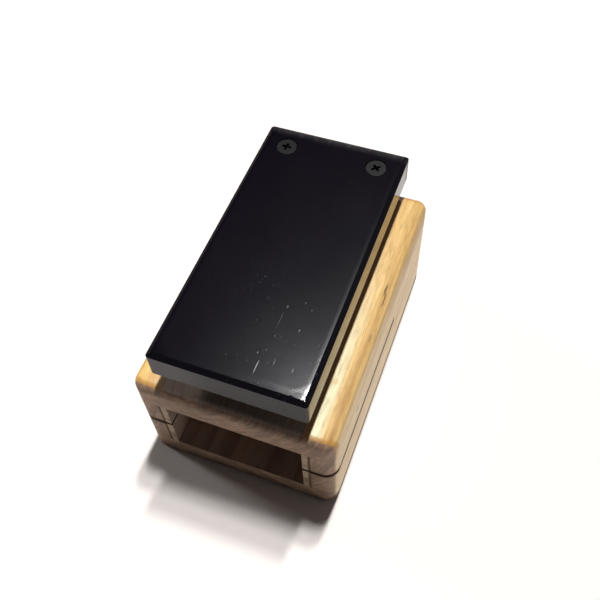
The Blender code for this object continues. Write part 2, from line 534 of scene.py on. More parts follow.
@Effect("rings", "pores", "fibre", "tone", "sweep", "rays",
        place="Vector", ring_spacing="Float", wander="Float", seed="Float")
def wood_grain(sheet: Sheet, place: Socket, ring_spacing: Socket, wander: Socket,
               seed: Socket) -> Sequence[Socket]:
    """Fill in the year rings, pores and fibres of a log whose heart runs along Y.

    Args:
        sheet: The group's node sheet.
        place: The place in the log.
        ring_spacing: The width of a year's ring.
        wander: How far the rings wander.
        seed: What tells this log from others.

    Returns:
        Its outputs, in order.
    """
    shifted = sheet.vector("ADD", place, sheet.vector("MULTIPLY", (0.31, 0.17, 0.23), seed))
    slow = sheet.noise(shifted, (16.0, 5.0, 16.0), output="Color")
    sway = sheet.vector("MULTIPLY", sheet.vector("SUBTRACT", slow, (0.5, 0.5, 0.5)), wander)
    swayed = sheet.vector("ADD", place, sway)
    level = sheet.vector("MULTIPLY", swayed, (1.0, 0.0, 1.0))
    reach = sheet.math("DIVIDE", sheet.vector("LENGTH", level), ring_spacing)
    fray = sheet.swing(sheet.noise(shifted, (420.0, 14.0, 420.0), 3.0), 0.34)
    phase = sheet.math("ADD", reach, fray)
    season = sheet.math("FRACT", phase)
    early = sheet.most(sheet.span(season, 0.0, 0.62, 1.0, 0.0), sheet.span(season, 0.88, 1.0))
    year = sheet.add("TexWhiteNoise", noise_dimensions="1D")
    sheet.feed(year.inputs["W"], sheet.math("FLOOR", phase))
    rings = sheet.times(early, sheet.span(year.outputs["Value"], 0.0, 1.0, 0.35, 1.0))
    distance, _ = sheet.cells(shifted, (1900.0, 60.0, 1900.0))
    pores = sheet.span(distance, 0.18, 0.42, 1.0, 0.0)
    pores = sheet.times(pores, sheet.span(early, 0.25, 0.9, 0.12, 1.0))
    fibre = sheet.noise(shifted, (820.0, 110.0, 820.0), 4.0, 0.65)
    tone = sheet.noise(shifted, (38.0, 4.0, 38.0))
    x, y, z = sheet.parts(swayed)
    polar = sheet.add("CombineXYZ", reach, y, sheet.math("ARCTAN2", z, x)).outputs["Vector"]
    sweep = sheet.noise(polar, (0.8, 11.0, 5.0), 3.0, 0.6)
    rays = sheet.noise(polar, (0.7, 60.0, 95.0))
    return rings, pores, fibre, tone, sweep, rays


@Effect("clouds", "grain", place="Vector", fine="Float")
def fine_mottle(sheet: Sheet, place: Socket, fine: Socket) -> Sequence[Socket]:
    """Fill in the cloudy and the fine unevenness of a painted, sawn or moulded surface."""
    clouds = sheet.noise(place, (45.0, 30.0, 45.0), 3.0)
    return clouds, sheet.noise(place, fine, 3.0, 0.6)


@Effect("mask", place="Vector", middle="Vector", reach="Vector")
def spot_mask(sheet: Sheet, place: Socket, middle: Socket, reach: Socket) -> Sequence[Socket]:
    """Fill in the mask of one small long spot.

    Args:
        sheet: The group's node sheet.
        place: The place on the piece.
        middle: The spot's middle.
        reach: How far it reaches along each axis.

    Returns:
        The mask.
    """
    away = sheet.vector("DIVIDE", sheet.vector("SUBTRACT", place, middle), reach)
    rough = sheet.swing(sheet.noise(place, (900.0, 250.0, 900.0)), 0.9)
    distance = sheet.math("ADD", sheet.vector("LENGTH", away), rough)
    return (sheet.span(distance, 0.45, 1.0, 1.0, 0.0),)


@Effect("mask", place="Vector", middle="Float", reach="Float", front="Float", rear="Float")
def stripe_mask(sheet: Sheet, place: Socket, middle: Socket, reach: Socket, front: Socket,
                rear: Socket) -> Sequence[Socket]:
    """Fill in the mask of a stripe along Y that wanders a little.

    Args:
        sheet: The group's node sheet.
        place: The place on the piece.
        middle: The X of the stripe's middle.
        reach: How far it reaches to each side.
        front: Its strength at the front.
        rear: Its strength at the rear.

    Returns:
        The mask.
    """
    x, y, _ = sheet.parts(place)
    drift = sheet.swing(sheet.noise(place, (30.0, 26.0, 30.0)), 0.0016)
    away = sheet.math("DIVIDE", sheet.away(sheet.math("ADD", x, drift), middle), reach)
    share = sheet.span(y, -0.05, 0.05, front, rear)
    return (sheet.times(sheet.span(away, 0.0, 1.0, 1.0, 0.0), share),)


class Coat(Sheet):
    """A material's node sheet, with its one shader."""

    def __init__(self, name: str) -> None:
        """Start a material.

        Args:
            name: The material's name.
        """
        self.material = bpy.data.materials.new(name)
        self.material.use_nodes = True
        super().__init__(self.material.node_tree)
        self.shader = self.add("BsdfPrincipled")
        self.add("OutputMaterial", self.shader.outputs["BSDF"])
        self.spot = self.add("TexCoord").outputs
        self.where = self.spot["Object"]

    def set(self, name: str, value: Value | Shade) -> None:
        """Feed one of the shader's inputs."""
        self.feed(self.shader.inputs[name], value)

    def mark(self, colour: Shade, marks: Sequence["Fleck | Stripe"]) -> Socket:
        """Lay marks over a colour, one after another."""
        return reduce(lambda under, mark: self.mix(mark.mask(self), under, mark.colour), marks, colour)

    def bump(self, height: Socket, depth: float, strength: float) -> None:
        """Bump the surface.

        Args:
            height: The height, from 0 to 1.
            depth: The depth of a full step in metres.
            strength: How much of it shows.
        """
        node = self.add("Bump")
        for name, value in (("Strength", strength), ("Distance", depth), ("Height", height)):
            self.feed(node.inputs[name], value)
        self.set("Normal", node.outputs["Normal"])


@dataclass(frozen=True)
class Fleck:
    """A small long spot in a surface, such as a knot or a scratch."""

    middle: Triple
    reach: Triple
    strength: float
    colour: Triple = (0.11, 0.048, 0.010)

    def mask(self, coat: Coat) -> Socket:
        """Give how strongly the spot shows."""
        spot = spot_mask.place(coat, place=coat.where, middle=self.middle, reach=self.reach)
        return coat.times(spot["mask"], self.strength)


@dataclass(frozen=True)
class Stripe:
    """A stripe along the wood, with its strength at the front and at the rear."""

    middle: float
    reach: float
    colour: Triple
    front: float
    rear: float

    def mask(self, coat: Coat) -> Socket:
        """Give how strongly the stripe shows."""
        return stripe_mask.place(coat, place=coat.where, middle=self.middle, reach=self.reach,
                                 front=self.front, rear=self.rear)["mask"]


@dataclass(frozen=True)
class AshFinish:
    """Ash under a thin coat of oil, sawn from a log whose heart lies at a place and leans."""

    name: str
    heart: Triple
    lean: Triple = (0.0, 0.0, 0.0)
    ring_spacing: float = 0.0025
    wander: float = 0.004
    seed: float = 0.0
    late: Triple = (0.97, 0.735, 0.445)
    early: Triple = (0.87, 0.625, 0.35)
    end_late: Triple = (0.405, 0.253, 0.165)
    end_early: Triple = (0.25, 0.138, 0.082)
    flank: Triple = (0.86, 0.645, 0.38)
    # Painted shade: the flank's darker tone just below the rim, towards the rear
    flank_rear: Triple = (0.61, 0.40, 0.20)
    flank_share: float = 0.0
    # The rounded front rim's own orange, painted only where the lamps light it beside the plate
    rim: Triple = (0.64, 0.315, 0.075)
    rim_share: float = 0.0
    rim_heights: Pair = (0.044, 0.049)
    pore: Triple = (0.27, 0.125, 0.032)
    pore_share: float = 0.50
    dash: Triple = (0.62, 0.40, 0.19)
    # Colour of the darker band at the foot, of the painted shade along the kerf and of the seam's glue
    grime: Triple = (0.105, 0.045, 0.006)
    grime_height: float = 0.0
    scorch_height: float = 0.0
    scorch_end: float = 0.0
    seam: float = 0.0
    gloss: float = 0.55
    stripes: tuple[Stripe, ...] = ()
    flecks: tuple[Fleck, ...] = ()

    def long_grain(self, coat: Coat, grain: dict[str, Socket], across: Socket, endways: Socket) -> Socket:
        """Colour the faces along the grain: rings, stripes, flanks, front rim, fibres and pores, with
        painted light and shade.

        Args:
            coat: The material's node sheet.
            grain: The wood's grain.
            across: How far the surface looks to a side.
            endways: How far it looks to the front or the rear.

        Returns:
            The colour.
        """
        x, y, z = coat.parts(coat.where)
        colour = coat.mark(coat.mix(grain["rings"], self.late, self.early), self.stripes)
        # Painted shade: the flank darkens just below the rim towards the rear.
        painted_shade_below_rim = coat.times(coat.span(y, -0.03, 0.04), coat.span(z, 0.040, 0.049))
        flank = coat.mix(painted_shade_below_rim, self.flank, self.flank_rear)
        colour = coat.mix(coat.span(across, 0.80, 0.97, 0.0, self.flank_share), colour, flank)
        # Painted light: the rim's orange shows only beside the plate, out of its shadow, where the lamps
        # light it.
        outer = coat.span(coat.math("ABSOLUTE", x), 0.025, 0.030, 0.0, self.rim_share)
        rim = coat.times(coat.span(endways, 0.06, 0.35), outer, coat.span(z, *self.rim_heights))
        colour = coat.mix(rim, colour, self.rim)
        dash = coat.span(grain["fibre"], 0.50, 0.72, 0.0, 0.42)
        colour = coat.mix(coat.times(dash, coat.span(across, 0.6, 0.9, 1.0, 0.35)), colour, self.dash)
        fibre = coat.span(grain["fibre"], 0.28, 0.72, 1.09, 0.90)
        tone = coat.span(grain["tone"], 0.25, 0.75, 0.93, 1.05)
        colour = coat.tint(colour, coat.times(fibre, tone))
        return coat.mix(coat.times(grain["pores"], self.pore_share), colour, self.pore)

    def end_grain(self, coat: Coat, grain: dict[str, Socket]) -> Socket:
        """Colour the ends, where the rings are cut across.

        Args:
            coat: The material's node sheet.
            grain: The wood's grain.

        Returns:
            The colour.
        """
        colour = coat.mix(coat.times(grain["rings"], 0.6), self.end_late, self.end_early)
        sweep = coat.span(grain["sweep"], 0.32, 0.68, 0.62, 1.20)
        rays = coat.span(grain["rays"], 0.3, 0.7, 0.90, 1.08)
        return coat.tint(colour, coat.times(sweep, rays))

    def soil(self, coat: Coat, colour: Socket, across: Socket) -> Socket:
        """Add the flecks, a darker band at the foot, painted shade along the kerf and the seam's glue.

        Args:
            coat: The material's node sheet.
            colour: The wood's colour so far.
            across: How far the surface looks to a side.

        Returns:
            The marked colour.
        """
        x, y, z = coat.parts(coat.where)
        colour = coat.mark(colour, self.flecks)
        # Darker towards the foot.
        if self.grime_height:
            low = coat.span(z, self.grime_height * 0.5, self.grime_height, 0.95, 0.0)
            colour = coat.mix(coat.times(low, coat.span(across, 0.4, 0.9, 0.15, 1.0)), colour, self.grime)
        # Painted shade: a darker band along the kerf's lips, up to where the kerf ends.
        if self.scorch_height:
            kerf_lip_shade = coat.span(coat.away(z, self.scorch_height), 0.0011, 0.0026, 0.85, 0.0)
            front = coat.span(y, self.scorch_end - 0.001, self.scorch_end, 1.0, 0.0)
            colour = coat.mix(coat.times(kerf_lip_shade, front), colour, self.grime)
        if self.seam:
            glue = coat.span(coat.away(x, self.seam), 0.0003, 0.0009, 0.75, 0.0)
            colour = coat.mix(glue, colour, self.grime)
        return colour

    def material(self) -> Material:
        """Make the wood.

        Returns:
            Its material.
        """
        coat = Coat(self.name)
        turn = [math.radians(angle) for angle in self.lean]
        log = coat.add("Mapping", coat.where, self.heart, turn, vector_type="TEXTURE")
        grain = wood_grain.place(coat, place=log.outputs["Vector"], ring_spacing=self.ring_spacing,
                                 wander=self.wander, seed=self.seed)
        across, endways = (coat.math("ABSOLUTE", share) for share in coat.parts(coat.spot["Normal"])[:2])
        end = coat.span(endways, 0.40, 0.66)
        colour = coat.mix(end, self.long_grain(coat, grain, across, endways), self.end_grain(coat, grain))
        coat.set("Base Color", self.soil(coat, colour, across))
        rough = coat.span(grain["fibre"], 0.2, 0.8, self.gloss - 0.05, self.gloss + 0.06)
        coat.set("Roughness", coat.math("ADD", rough, coat.times(end, 0.10)))
        sunk = coat.math("ADD", coat.times(grain["pores"], 0.8), coat.times(grain["rings"], 0.2))
        coat.bump(coat.math("SUBTRACT", coat.times(grain["fibre"], 0.5), sunk), 0.00012, 0.4)
        return coat.material


@dataclass(frozen=True)
class LacquerFinish:
    """Black gloss lacquer over wood whose pores still show, with a paler rear edge, partly wear and partly
    painted sheen.
    """

    name: str
    colour: Triple = (0.0020, 0.0012, 0.0042)
    thin: Triple = (0.0030, 0.0018, 0.0050)
    pore_dust: Triple = (0.16, 0.16, 0.165)
    # A paler rear edge: partly wear, partly a painted sheen along the rear edge
    worn: Triple = (0.060, 0.060, 0.050)
    worn_places: Pair = (0.0545, 0.0600)
    worn_heights: Pair = (0.0685, 0.0735)
    gloss: float = 0.18
    ior: float = 1.46
    scratches: tuple[Fleck, ...] = ()

    @staticmethod
    def pores(coat: Coat, scale: Triple, largest: float) -> Socket:
        """Give pores of uneven size, most of them filled by the lacquer.

        Args:
            coat: The material's node sheet.
            scale: How many pores fit in a metre on each axis.
            largest: The reach of the largest pore, as a share of its cell.

        Returns:
            Their mask.
        """
        distance, chance = coat.cells(coat.where, scale)
        red = coat.add("SeparateColor", chance).outputs["Red"]
        reach = coat.span(red, 0.80, 1.0, 0.002, largest)
        return coat.span(coat.math("DIVIDE", distance, reach), 0.5, 1.0, 1.0, 0.0)

    def material(self) -> Material:
        """Make the lacquer, with its pores along the plate.

        Returns:
            Its material.
        """
        coat = Coat(self.name)
        x, y, z = coat.parts(coat.where)
        mottle = fine_mottle.place(coat, place=coat.where, fine=1100.0)
        patch = coat.span(coat.noise(coat.where, (60.0, 30.0, 60.0)), 0.40, 0.62)
        # Pores show mostly at the front right, where the lamps' glare catches them: their pale dust there
        # is partly a painted glint.
        near = coat.times(coat.span(y, -0.045, 0.0, 1.0, 0.10), coat.span(x, -0.015, 0.005, 0.2, 1.0))
        long_pores = self.pores(coat, (700.0, 90.0, 700.0), 0.16)
        specks = self.pores(coat, (1300.0, 700.0, 1300.0), 0.30)
        pore = coat.times(coat.most(long_pores, specks), patch, near)
        pore = coat.most(pore, *(scratch.mask(coat) for scratch in self.scratches))
        colour = coat.mix(mottle["clouds"], self.colour, self.thin)
        colour = coat.mix(coat.times(pore, 0.75), colour, self.pore_dust)
        scuffs = coat.span(coat.noise(coat.where, (500.0, 300.0, 500.0), 3.0, 0.7), 0.42, 0.68)
        # Paler patchy rear edge: partly wear, partly a painted sheen along the rear edge.
        rear = coat.span(y, *self.worn_places)
        worn = coat.times(rear, scuffs, coat.span(z, *self.worn_heights), 0.6)
        coat.set("Base Color", coat.mix(worn, colour, self.worn))
        smooth = coat.span(mottle["clouds"], 0.2, 0.8, self.gloss - 0.008, self.gloss + 0.008)
        coat.set("Roughness", coat.math("ADD", smooth, coat.times(rear, 0.25)))
        coat.set("IOR", self.ior)
        height = coat.math("SUBTRACT", coat.times(mottle["grain"], 0.24), coat.times(pore, 0.5))
        coat.bump(height, 0.0001, 0.35)
        return coat.material


@dataclass(frozen=True)
class DullFinish:
    """A dull surface of two tones, such as sawn wood, blackened steel or rubber."""

    name: str
    tone: Tone
    dark: Triple
    pale: Triple
    fine: float
    roughness: Pair
    depth: float
    relief: float
    specular: float = 0.5

    def material(self) -> Material:
        """Make the surface.

        Returns:
            Its material.
        """
        coat = Coat(self.name)
        mottle = fine_mottle.place(coat, place=coat.where, fine=self.fine)
        height = mottle["grain"]
        if self.tone is Tone.SAW_MARKS:
            height = share = coat.noise(coat.where, (120.0, 900.0, 120.0))
        elif self.tone is Tone.WEAR:
            share = coat.span(height, 0.45, 0.7)
        else:
            share = mottle["clouds"]
        coat.set("Base Color", coat.mix(share, self.dark, self.pale))
        coat.set("Roughness", coat.span(mottle["grain"], 0.3, 0.7, *self.roughness))
        coat.set("Specular IOR Level", self.specular)
        coat.bump(height, self.depth, self.relief)
        return coat.material


def sawn_wood(name: str, dark: Triple, pale: Triple) -> Material:
    """Make raw wood with a saw's fine marks."""
    return DullFinish(name, Tone.SAW_MARKS, dark, pale, 1800.0, (0.7, 0.9), 0.0001, 0.5).material()


def black_steel(name: str, dark: Triple, pale: Triple, roughness: Pair) -> Material:
    """Make blackened steel with a little wear."""
    return DullFinish(name, Tone.WEAR, dark, pale, 3200.0, roughness, 0.00008, 0.3, 0.22).material()


@dataclass
class SoundBox:
    """The hollow ash box with its kerf, open at the front."""

    front_corner_radii: Pair = (0.0055, 0.0056)
    rear_corner_radius: float = 0.0045
    corner_flats: int = 12
    top_edge_radius: float = 0.004
    base_edge_radius: float = 0.0008
    edge_flats: int = 8
    arris: float = 0.00012
    kerf_arris: float = 0.0001
    kerf_width: float = 0.0016
    kerf_height: float = 0.0257
    kerf_end: float = 0.015
    overrun: float = 0.01
    groove: float = 0.0003
    pilot_hole: tuple[Pair, Pair] = ((0.0021, 0.03), (0.0021, 0.06))
    pilot_sides: int = 32

    def __post_init__(self) -> None:
        """Read where the chamber lies and make the finishes that its pieces share."""
        self.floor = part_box("bottom_board")[1][2] + HAIR
        self.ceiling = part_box("top_board")[0][2] - HAIR
        # Raw wood inside the chamber, darkened well below raw ash: unfinished wood with painted shade of
        # the chamber.
        self.raw = AshFinish(
            "raw_inside", heart=(0.004, 0.0, -0.05), ring_spacing=0.0024, seed=31.0, gloss=0.6,
            late=(0.51, 0.375, 0.31), early=(0.345, 0.235, 0.187)).material()
        # Inside the kerf: sawn wood far darker than raw ash, as painted shade of the slit.
        self.sawn = sawn_wood("sawn_kerf", (0.09, 0.05, 0.024), (0.17, 0.10, 0.050))
        self.glued = sawn_wood("glued_seam", (0.26, 0.145, 0.075), (0.38, 0.22, 0.12))

    def round_corners(self, piece: Piece, side: Side) -> None:
        """Round a piece's corners on one side of the box."""
        front = dict(zip(Side, self.front_corner_radii))[side]
        piece.round_corners(front, self.rear_corner_radius, self.corner_flats, (side,))

    def leave_raw(self, piece: Piece, facing: Triple) -> None:
        """Give a piece's face towards the chamber the raw finish, darkened as painted shade."""
        piece.paint(self.raw, lambda face: face.normal.dot(facing) > SQUARE_ON)

    def build_board(self, name: str, node: str, outward: int, radius: float, finish: AshFinish) -> None:
        """Build a board with rounded corners and a rounded outer rim.

        Args:
            name: The piece's name.
            node: The CAD node that it replaces.
            outward: 1 for the upper board, which the screws pass, and -1 for the lower one.
            radius: The radius of the rim.
            finish: The board's finish.
        """
        low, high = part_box(node)
        board = Piece.block(name, low, high)
        for side in Side:
            self.round_corners(board, side)
        board.round_rim(high[2] if outward > 0 else low[2], radius, self.edge_flats)
        if outward > 0:
            board.drill(self.pilot_hole, self.pilot_sides)
        board.ease(self.arris)
        board.hand_over(node, Body.BOX, Slot.ASH, finish.material())
        self.leave_raw(board, (0.0, 0.0, -outward))

    def build_boards(self) -> None:
        """Build the upper and the lower board."""
        upper = AshFinish(
            "ash_upper_board", heart=(-0.024, 0.0, 0.078), lean=(1.2, 0.0, 0.8), ring_spacing=0.0016,
            seed=1.0, late=(0.94, 0.60, 0.19), early=(0.82, 0.465, 0.11), dash=(0.55, 0.27, 0.055),
            pore=(0.50, 0.24, 0.05), pore_share=0.26, flank_share=0.9, rim_share=0.8,
            stripes=self.board_stripes(), flecks=self.board_flecks())
        lower = AshFinish(
            "ash_lower_board", heart=(-0.012, 0.0, -0.045), lean=(-1.0, 0.0, 1.0), ring_spacing=0.0028,
            seed=5.0, late=(1.0, 0.80, 0.50), early=(0.92, 0.69, 0.40), grime_height=0.0052)
        self.build_board("upper_board", "top_board", 1, self.top_edge_radius, upper)
        self.build_board("lower_board", "bottom_board", -1, self.base_edge_radius, lower)

    @staticmethod
    def board_stripes() -> tuple[Stripe, ...]:
        """Give the upper board's stripes, some of them painted light and shade, each laid over the ones
        before it.

        Returns:
            The stripes.
        """
        painted_shade_under_plate, shade, line = (0.62, 0.47, 0.38), (0.40, 0.24, 0.105), (0.50, 0.255, 0.055)
        pale, golden, painted_gap_light = (0.98, 0.92, 0.60), (1.0, 0.76, 0.34), (1.0, 0.51, 0.20)
        amber, honey, tan = (0.78, 0.45, 0.12), (0.80, 0.485, 0.135), (0.78, 0.53, 0.24)
        brown, dark = (0.62, 0.36, 0.15), (0.47, 0.235, 0.045)
        fine_lines = (
            (0.0331, 0.20, 0.20), (0.0349, 0.50, 0.30), (0.0356, 0.60, 0.20),
            (0.0363, 0.70, 0.35), (0.0373, 0.65, 0.45), (0.0379, 0.55, 0.30),
        )
        return (
            # Painted shade: a greyer tone over the middle of the board, under the plate and where its
            # shadow falls on the front lip.
            Stripe(0.0, 0.0340, painted_shade_under_plate, 8.0, 8.0),
            # Painted highlight: a pale band just right of the plate's shadow, strongest at the front and
            # gone at the rear.
            Stripe(0.0308, 0.0046, pale, 1.0, 0.0),
            Stripe(0.0312, 0.0022, amber, 0.0, 0.6),
            Stripe(-0.0320, 0.0030, brown, 0.7, 0.2),
            Stripe(0.0366, 0.0015, dark, 0.85, 0.30),
            Stripe(-0.0384, 0.0012, dark, 0.3, 0.2),
            Stripe(0.0345, 0.0006, dark, 0.30, 0.05),
            Stripe(0.0338, 0.0012, golden, 0.0, 0.6),
            Stripe(0.0350, 0.0042, honey, 0.0, 0.60),
            *(Stripe(middle, 0.0004, line, front, rear) for middle, front, rear in fine_lines),
            # Painted light: an orange band in the plate's shadow along the gap on the right, lifting the
            # shade there, stronger towards the rear.
            Stripe(0.0281, 0.0018, painted_gap_light, 1.2, 3.0),
            Stripe(0.0384, 0.0016, tan, 0.75, 0.50),
            # Painted shade: a dark line on each side where the top's rounded rim turns away from the lamps.
            Stripe(0.0392, 0.0008, shade, 0.70, 0.60),
            Stripe(-0.0392, 0.0008, shade, 0.5, 0.5),
        )

    @staticmethod
    def board_flecks() -> tuple[Fleck, ...]:
        """Give the upper board's flecks, and the painted shadows at the ends of the gap beside the rubber.

        Returns:
            The flecks.
        """
        # Painted shadow: dark ends of the gap beside the rubber, on the board at its rear edge.
        painted_gap_end_shadows = (Fleck((side.value * 0.0287, 0.0595, 0.0505), (0.0017, 0.0065, 0.005), 0.95,
                          (0.040, 0.022, 0.008)) for side in Side)
        return (
            Fleck((0.0364, 0.0098, 0.0513), (0.0005, 0.0038, 0.002), 0.95, (0.15, 0.052, 0.006)),
            Fleck((0.0371, 0.0052, 0.0513), (0.0004, 0.0044, 0.002), 0.85, (0.17, 0.062, 0.007)),
            Fleck((0.0374, -0.0128, 0.0513), (0.0005, 0.0026, 0.002), 0.4),
            Fleck((0.0312, -0.0347, 0.0513), (0.0014, 0.0018, 0.002), 0.6, (0.80, 0.50, 0.17)),
            *painted_gap_end_shadows,
        )

    def kerf_blade(self) -> Piece:
        """Shape what the saw takes away.

        Returns:
            The cutter.
        """
        low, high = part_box("top_board")
        reach = high[0] + self.overrun
        half = self.kerf_width / 2
        return Piece.block("kerf_blade", (-reach, low[1] - self.overrun, self.kerf_height - half),
                           (reach, self.kerf_end, self.kerf_height + half))

    def in_kerf(self, face: Face) -> bool:
        """Tell whether a face was cut by the saw.

        Args:
            face: The face.

        Returns:
            Whether it lies in the kerf.
        """
        level = abs(face.center.z - self.kerf_height) < self.kerf_width / 2 + CLOSE
        ahead = face.center.y < self.kerf_end + CLOSE
        return level and ahead and (abs(face.normal.z) > 0.9 or face.normal.y < -0.9)

    def kerf(self, piece: Piece, blade: Piece) -> None:
        """Saw the kerf in a piece."""
        piece.cut(blade)
        piece.ease(self.kerf_arris)

    def darken(self, piece: Piece, seam: int) -> None:
        """Give a piece painted shade inside the kerf, and the glue's finish on the face, up or down X, that
        lies in the seam.
        """
        piece.paint(self.sawn, self.in_kerf)
        piece.paint(self.glued, lambda face: face.normal.x * seam > SQUARE_ON)

    @staticmethod
    def inner_face(node: str, side: Side) -> float:
        """Give the X of a node's face towards the chamber."""
        low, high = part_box(node)
        return high[0] if side is Side.LEFT else low[0]

    def build_wall(self, side: Side, blade: Piece) -> None:
        """Build one side rail and its lining strip, both kerfed.

        Args:
            side: The side they stand on.
            blade: The kerf's cutter.
        """
        rail_node, lining_node = side.word + "_side_rail", side.word + "_lining_strip"
        low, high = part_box(rail_node)
        rail_face = self.inner_face(rail_node, side)
        lining_face = rail_face - side.value * self.groove
        seam = (lining_face + rail_face) / 2
        rail = Piece.block(side.word + "_wall", (*low[:2], self.floor), (*high[:2], self.ceiling))
        self.round_corners(rail, side)
        self.kerf(rail, blade)
        knot = Fleck((0.040, -0.0355, 0.037), (0.001, 0.0023, 0.0012), 0.55)
        finish = AshFinish(
            "ash_" + side.word + "_wall", heart=(side.value * 0.035 - 0.080, 0.0, 0.062),
            lean=(0.8, 0.0, -0.6), ring_spacing=0.0019, seed=9.0 + side.value, seam=seam,
            scorch_height=self.kerf_height, scorch_end=self.kerf_end,
            flecks=(knot,) if side is Side.RIGHT else ())
        rail.hand_over(rail_node, Body.BOX, Slot.RAIL_ASH, finish.material())
        self.darken(rail, -side.value)
        low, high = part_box(lining_node)
        left, right = sorted((lining_face, self.inner_face(lining_node, side)))
        lining = Piece.block(side.word + "_lining", (left, low[1], self.floor),
                             (right, high[1], self.ceiling))
        self.kerf(lining, blade)
        finish = AshFinish(
            "ash_" + side.word + "_lining", heart=(side.value * 0.028, 0.0, 0.16), ring_spacing=0.0030,
            seed=14.0 + side.value, late=(0.80, 0.60, 0.33), early=(0.66, 0.45, 0.20),
            end_late=(0.49, 0.355, 0.225), end_early=(0.44, 0.315, 0.195), seam=seam)
        lining.hand_over(lining_node, Body.BOX, Slot.PALE_STRIP, finish.material())
        self.darken(lining, side.value)
        self.leave_raw(lining, (-side.value, 0.0, 0.0))

    def build_rear_block(self) -> None:
        """Build the block that closes the chamber's rear and takes the screws."""
        low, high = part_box("rear_block")
        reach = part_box("right_lining_strip")[0][0] - HAIR
        block = Piece.block("end_block", (-reach, low[1], self.floor), (reach, high[1], self.ceiling))
        block.drill(self.pilot_hole, self.pilot_sides)
        block.ease(self.arris)
        finish = AshFinish("ash_end_block", heart=(0.03, 0.0, -0.02), ring_spacing=0.0024, seed=21.0)
        block.hand_over("rear_block", Body.BOX, Slot.RAIL_ASH, finish.material())

    def build(self) -> None:
        """Build the whole box."""
        self.build_boards()
        blade = self.kerf_blade()
        for side in Side:
            self.build_wall(side, blade)
        blade.scrap()
        self.build_rear_block()


@dataclass
class Clapper:
    """The black plate that claps on the box."""

    corner_radius: float = 0.0013
    corner_flats: int = 8
    top_chamfer: float = 0.0018
    under_edge_radius: float = 0.0003
    under_edge_flats: int = 4
    arris: float = 0.00015
    head_hole: float = 0.00438
    neck_hole: float = 0.0026
    mouth_hole: float = 0.0037
    mouth_flare: float = 0.0002
    head_rim: float = 0.0009
    margin: float = 0.004
    sanded_sides: tuple[Pair, ...] = ((0.0034, 0.0), (0.0026, 0.000017), (0.00181, 0.000045))
    sanded_ends: tuple[Pair, ...] = (
        (0.0048, 0.0), (0.0040, 0.000010), (0.0032, 0.000020), (0.0025, 0.000026), (0.00181, 0.000030))
    sanded_corners: tuple[Pair, ...] = (
        (0.0080, 0.0), (0.0064, 0.000035), (0.0050, 0.000055), (0.0036, 0.000075))

    def sand(self, plate: Piece, passes: Sequence[tuple[Triple, Sequence[Pair]]]) -> None:
        """Let the top face fall away a little towards edges or corners, as hand sanding leaves it.

        Args:
            plate: The plate to work on.
            passes: The level direction of each edge or corner, with its steps: how far in
                from it a step starts, and how far the top drops there.
        """
        low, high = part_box("strike_plate")
        skin = high[2] - self.top_chamfer - CLOSE
        moves = []
        for direction, steps in passes:
            way = Vector(direction).normalized()
            reach = sum(max(low[axis] * way[axis], high[axis] * way[axis]) for axis in range(2))
            for inset, drop in steps:
                # The chamfer already has an edge at the last step of a side or an end
                if inset > self.top_chamfer + HAIR:
                    plate.slice(tuple(way * (reach - inset)), tuple(way))
                if drop:
                    moves.append((way, reach - inset - CLOSE, (0.0, 0.0, -drop)))
        for way, start, move in moves:
            plate.shift(lambda point: point.z > skin and point.dot(way) > start, move)

    def sand_all(self, plate: Piece) -> None:
        """Sand the plate's sides and ends, then its corners.

        Args:
            plate: The plate to work on.
        """
        signs = [side.value for side in Side]
        sides = [((sign, 0.0, 0.0), self.sanded_sides) for sign in signs]
        ends = [((0.0, sign, 0.0), self.sanded_ends) for sign in signs]
        self.sand(plate, sides + ends)
        self.sand(plate, [((right, rear, 0.0), self.sanded_corners) for right in signs for rear in signs])

    def build(self) -> None:
        """Build the plate, with its two countersunk holes."""
        low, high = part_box("strike_plate")
        base, top = low[2], high[2]
        plate = Piece.block("clapper_plate", low, high)
        plate.round_corners(self.corner_radius, self.corner_radius, self.corner_flats)
        plate.round_rim(top, self.top_chamfer, 1)
        plate.round_rim(base, self.under_edge_radius, self.under_edge_flats)
        self.sand_all(plate)
        neck_top = top - self.head_rim - (self.head_hole - self.neck_hole)
        plate.drill((
            (self.mouth_hole + self.mouth_flare, base - self.margin), (self.mouth_hole, base),
            (self.neck_hole, neck_top), (self.head_hole, top - self.head_rim),
            (self.head_hole, top + self.margin),
        ))
        plate.ease(self.arris)
        finish = LacquerFinish("black_gloss_lacquer", scratches=self.scratches(top))
        plate.hand_over("strike_plate", Body.CLAPPER, Slot.LACQUER, finish.material())
        thin = LacquerFinish("thin_end_lacquer", gloss=0.32, ior=1.30)
        plate.paint(thin.material(), lambda face: abs(face.normal.y) > 0.5)
        # Painted reflection: the sloping faces, chiefly the top chamfer, get a lacquer that hardly
        # reflects, with a dim purple tone painted in place of their reflection.
        painted_edge_reflection = LacquerFinish("rubbed_edge_lacquer", (0.0060, 0.0054, 0.0080), (0.0075, 0.0066, 0.0095),
                               gloss=0.5, ior=1.06)
        plate.paint(painted_edge_reflection.material(), lambda face: 0.3 < face.normal.z < 0.95)

    @staticmethod
    def scratches(height: float) -> tuple[Fleck, ...]:
        """Give the fine scratches on the plate's top.

        Args:
            height: The height of the top.

        Returns:
            The scratches.
        """
        marks = (
            (0.0093, -0.0305, 0.00020, 0.0040, 0.40), (0.0085, -0.0497, 0.00020, 0.0029, 0.75),
            (0.0136, -0.0462, 0.00022, 0.0016, 0.5), (0.0172, -0.0320, 0.00030, 0.0009, 0.8),
            (0.0206, -0.0473, 0.00032, 0.0011, 0.65), (-0.0025, -0.0143, 0.00030, 0.0005, 0.5),
            (0.0153, -0.0204, 0.00030, 0.0005, 0.5), (0.0183, -0.0227, 0.00030, 0.0005, 0.5),
            (0.0098, -0.0239, 0.00035, 0.0007, 0.9),
        )
        return tuple(Fleck((x, y, height), (wide, long, 0.001), share) for x, y, wide, long, share in marks)


